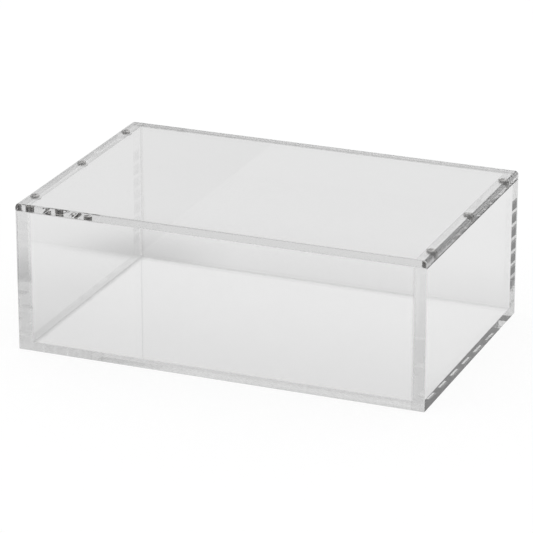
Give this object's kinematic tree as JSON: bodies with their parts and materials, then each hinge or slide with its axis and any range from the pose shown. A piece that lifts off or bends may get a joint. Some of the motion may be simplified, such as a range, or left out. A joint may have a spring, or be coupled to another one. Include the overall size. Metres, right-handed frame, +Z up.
{
  "type": "clear storage box with lid",
  "caption": "Shallow rectangular clear plastic box with thick glued walls and a loose flat lid of the same size, held by small disc magnets along the short sides.",
  "frame": {"origin": "centre of the underside, on the surface the box stands on", "axes": "+X along the long side to the right, +Y from the front to the back, +Z up"},
  "size_m": [0.28, 0.182, 0.1006],
  "materials": {
    "clear_acrylic": "polished clear acrylic",
    "nickel_plate": "bright nickel plating"
  },
  "bodies": {
    "box": {"left_wall": "clear_acrylic", "right_wall": "clear_acrylic", "front_panel": "clear_acrylic", "back_panel": "clear_acrylic", "base": "clear_acrylic", "wall_magnet_left_front": "nickel_plate", "wall_magnet_left_middle": "nickel_plate", "wall_magnet_left_back": "nickel_plate", "wall_magnet_right_front": "nickel_plate", "wall_magnet_right_middle": "nickel_plate", "wall_magnet_right_back": "nickel_plate"},
    "lid": {"lid": "clear_acrylic", "lid_magnet_left_front": "nickel_plate", "lid_magnet_left_middle": "nickel_plate", "lid_magnet_left_back": "nickel_plate", "lid_magnet_right_front": "nickel_plate", "lid_magnet_right_middle": "nickel_plate", "lid_magnet_right_back": "nickel_plate"}
  },
  "joints": [
    {"name": "lid_lift", "type": "slide", "parent": "box", "child": "lid", "axis": [0, 0, 1], "range_m": [0, 0.12]}
  ]
}
